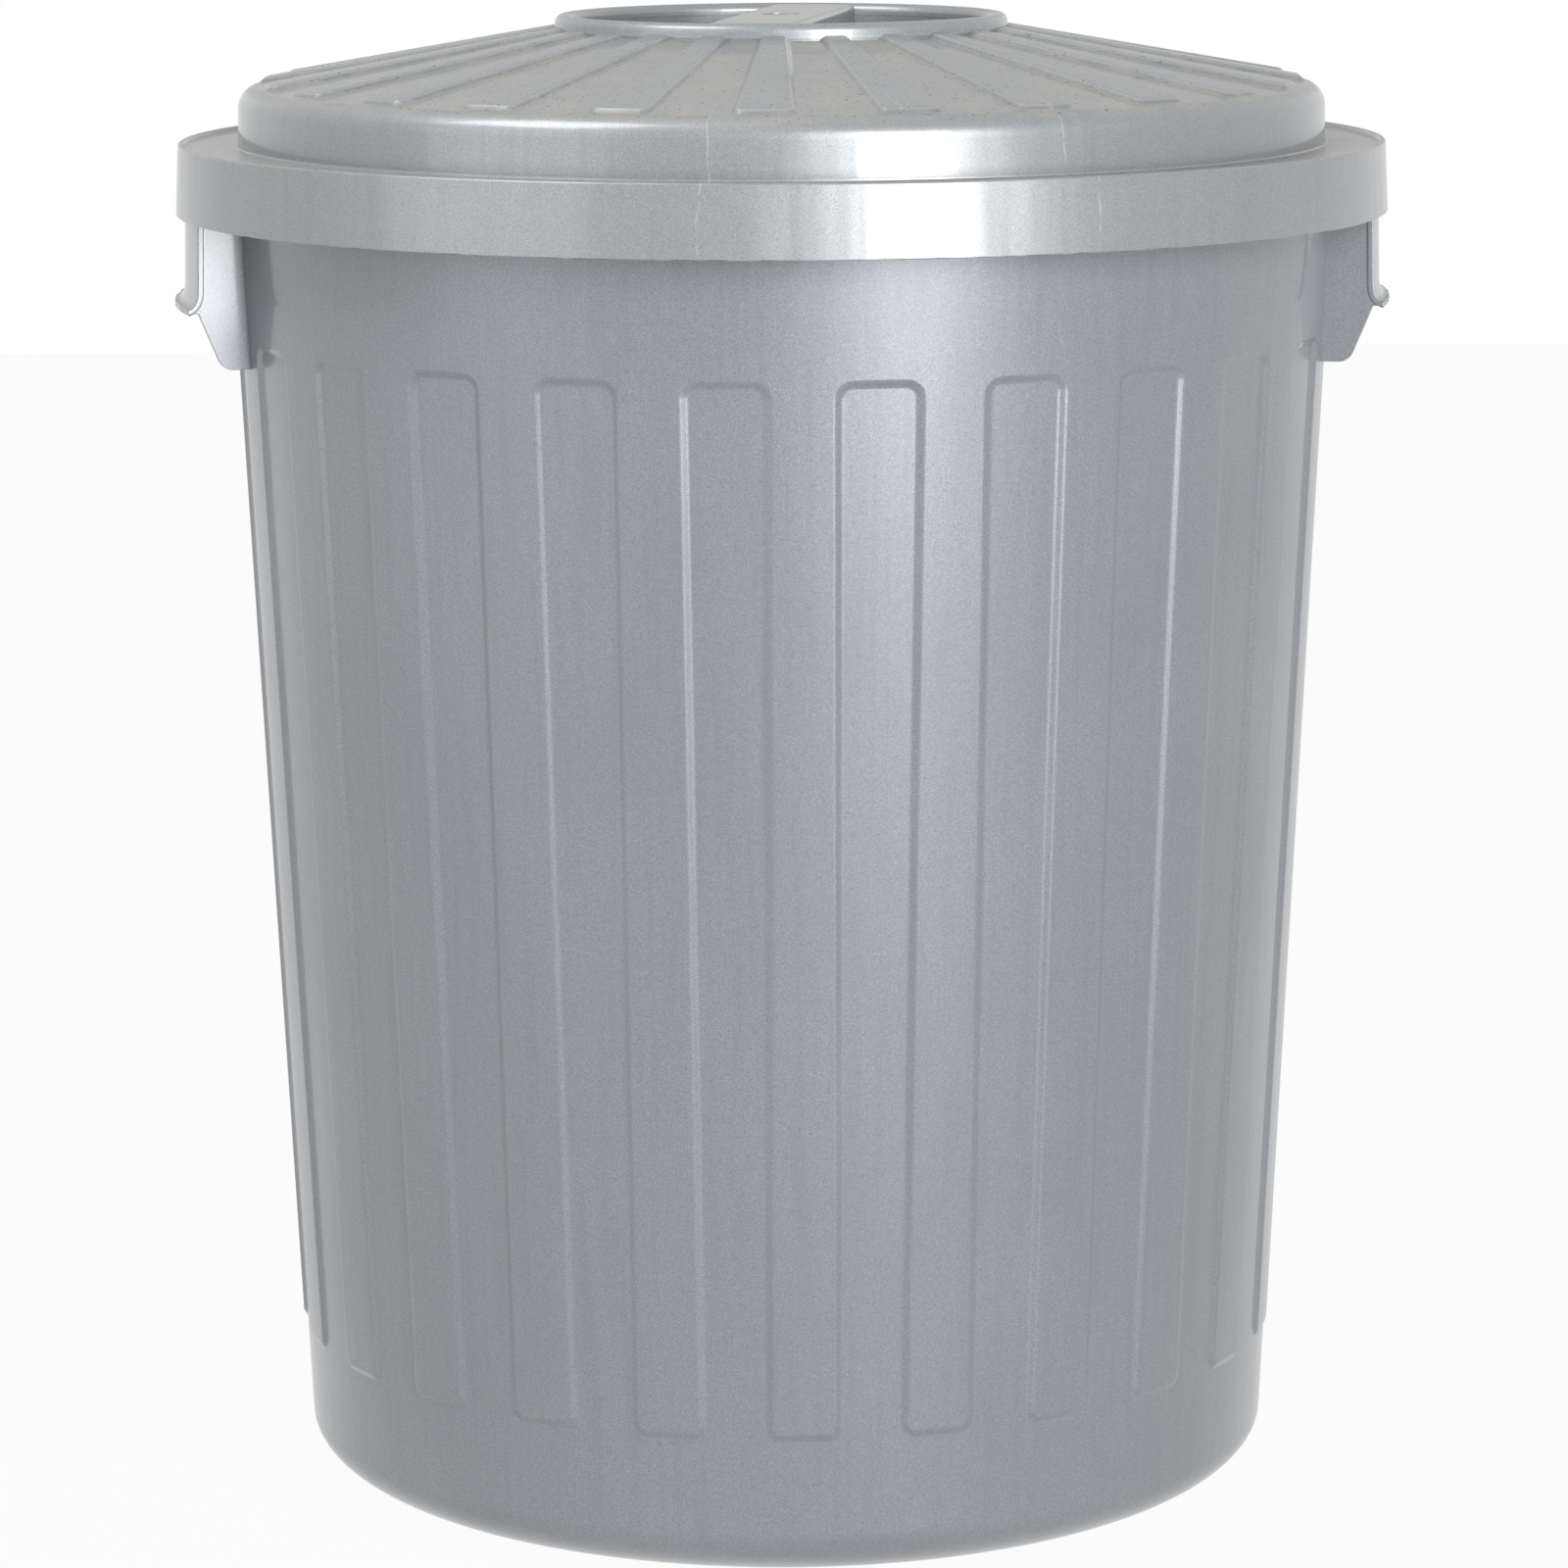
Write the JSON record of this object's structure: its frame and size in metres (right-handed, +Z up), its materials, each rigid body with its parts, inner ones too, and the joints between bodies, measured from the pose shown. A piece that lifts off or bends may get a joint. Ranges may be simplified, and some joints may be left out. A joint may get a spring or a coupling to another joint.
{
  "type": "rubbish bin with lid",
  "caption": "Tapered round plastic rubbish bin with vertical ribs, two pocket handles under the rim, and a domed lift-off lid with radial ribs and a recessed grip.",
  "frame": {"origin": "on the floor, under the middle of the bin", "axes": "+Z up through the lid, the two handles on the +X and -X sides, -Y the front"},
  "size_m": [0.5024, 0.4998, 0.6122],
  "materials": {
    "bin_plastic": "silver-grey metal-flake pigment, semi-gloss, fine moulded grain",
    "lid_plastic": "silver-grey metal-flake pigment, semi-gloss, a little dusty on top"
  },
  "bodies": {
    "bin": {"bin_body": "bin_plastic"},
    "lid": {"lid": "lid_plastic"}
  },
  "joints": [
    {"name": "lid_lift", "type": "slide", "parent": "bin", "child": "lid", "axis": [0, 0, 1], "range_m": [0, 0.2]}
  ]
}
